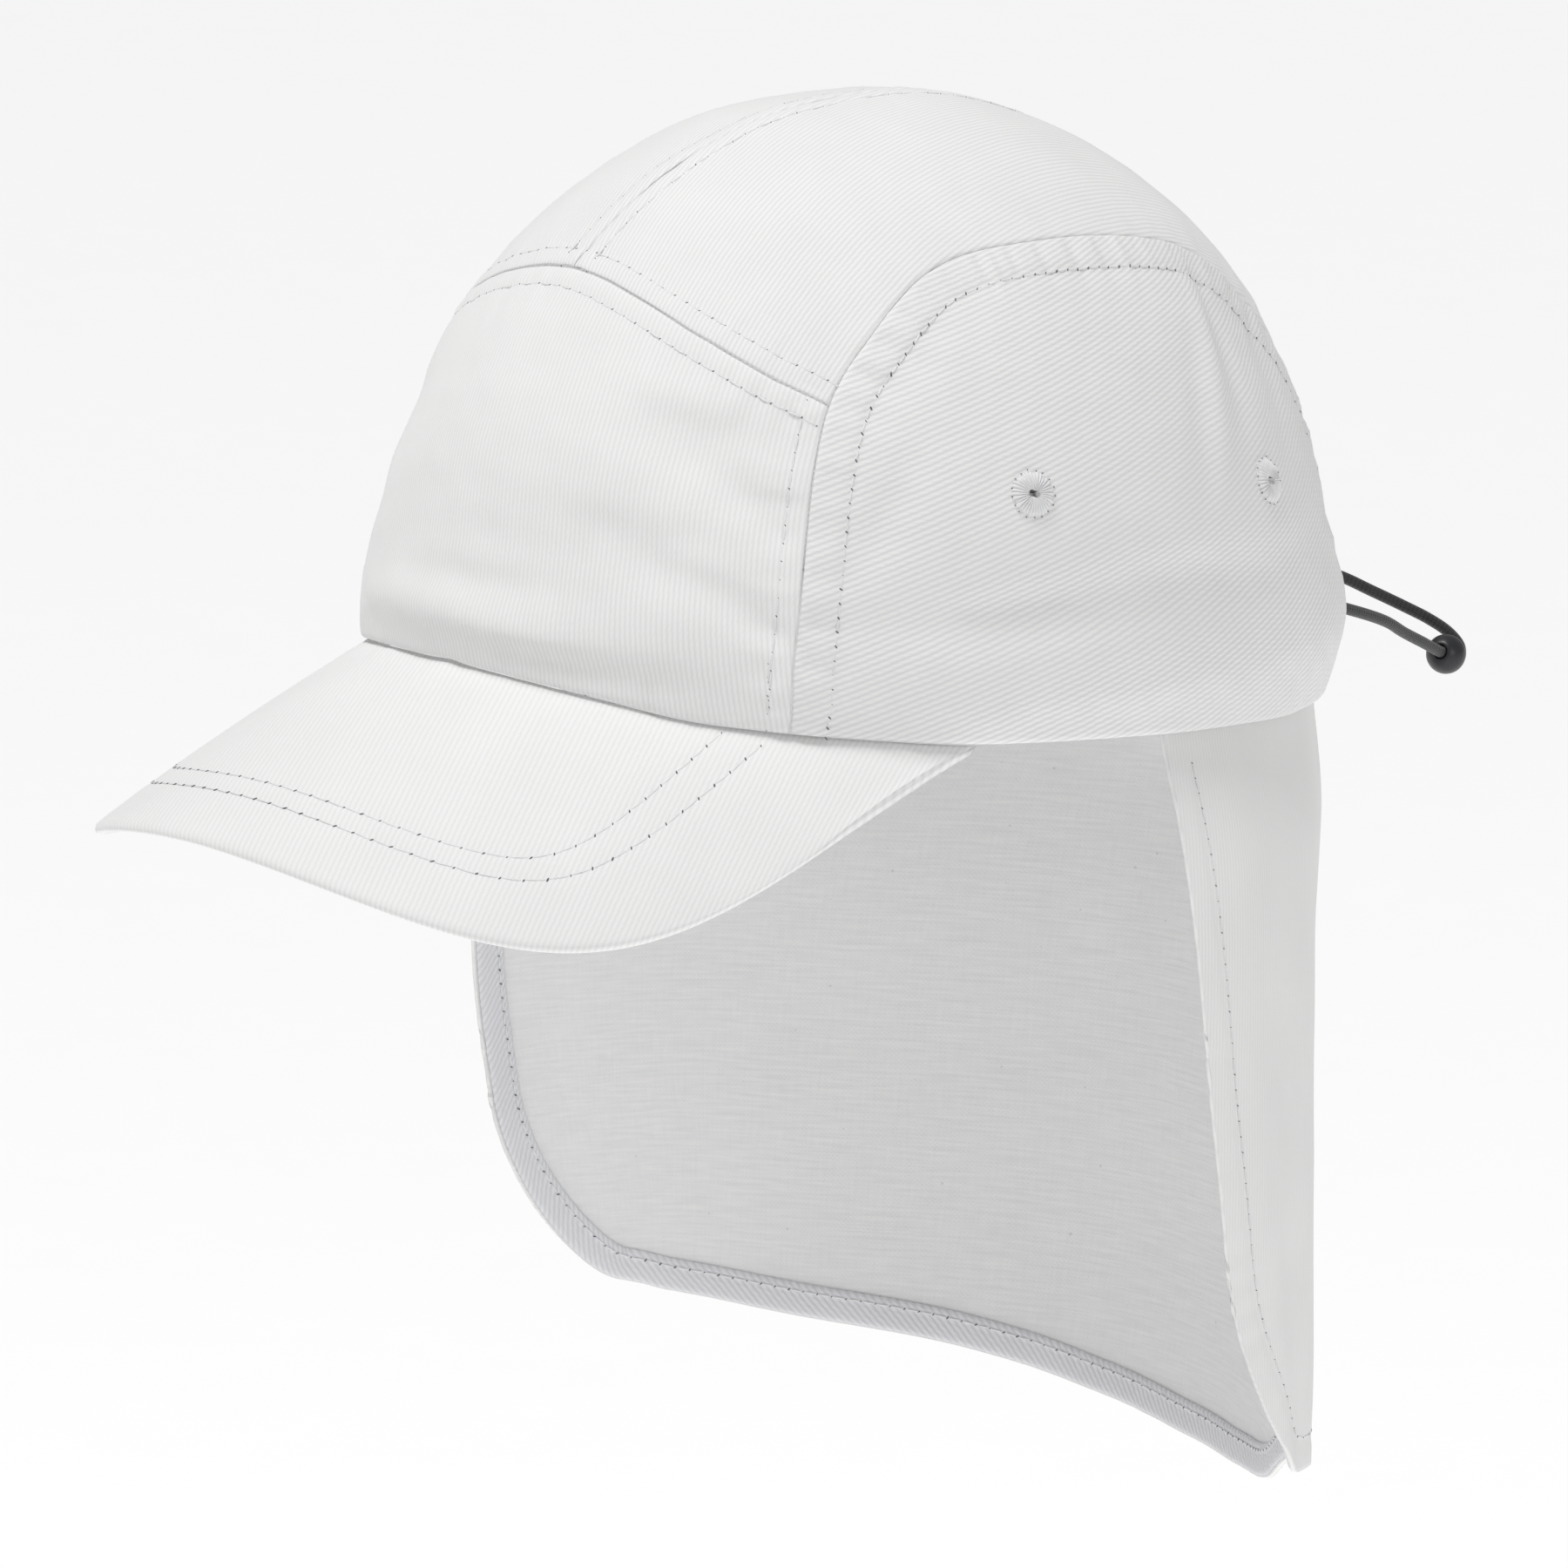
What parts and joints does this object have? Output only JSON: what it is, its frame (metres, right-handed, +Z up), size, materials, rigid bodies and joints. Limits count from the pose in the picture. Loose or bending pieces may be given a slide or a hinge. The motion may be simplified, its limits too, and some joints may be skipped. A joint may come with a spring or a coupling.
{
  "type": "legionnaire cap",
  "caption": "Cotton twill sun cap with a curved brim, a five-panel crown, a neck flap hanging from the back of the rim, stitched eyelets and an elastic cord with a ball at the back.",
  "frame": {"origin": "centre of the head opening at the mean height of the rim", "axes": "+Z up through the crown, -Y the way the brim points, +X the wearer's left"},
  "size_m": [0.21, 0.3142, 0.2725],
  "materials": {
    "crown_twill": "off-white cotton twill",
    "brim_twill": "off-white cotton twill over a stiff board",
    "flap_cloth": "off-white cotton, plain weave on the inner side",
    "facing_twill": "off-white cotton twill hem facing",
    "eyelet_thread": "white embroidery thread",
    "cord_elastic": "matt black round elastic cord",
    "ball_rubber": "satin black rubber"
  },
  "bodies": {
    "root": {"front_panel": "crown_twill", "top_panel_left": "crown_twill", "top_panel_right": "crown_twill", "side_panel_left": "crown_twill", "side_panel_right": "crown_twill", "brim": "brim_twill", "neck_flap": "flap_cloth", "flap_facing": "facing_twill", "eyelet_left_front": "eyelet_thread", "eyelet_left_back": "eyelet_thread", "eyelet_right_front": "eyelet_thread", "eyelet_right_back": "eyelet_thread", "elastic_cord": "cord_elastic", "cord_ball": "ball_rubber"}
  },
  "joints": []
}
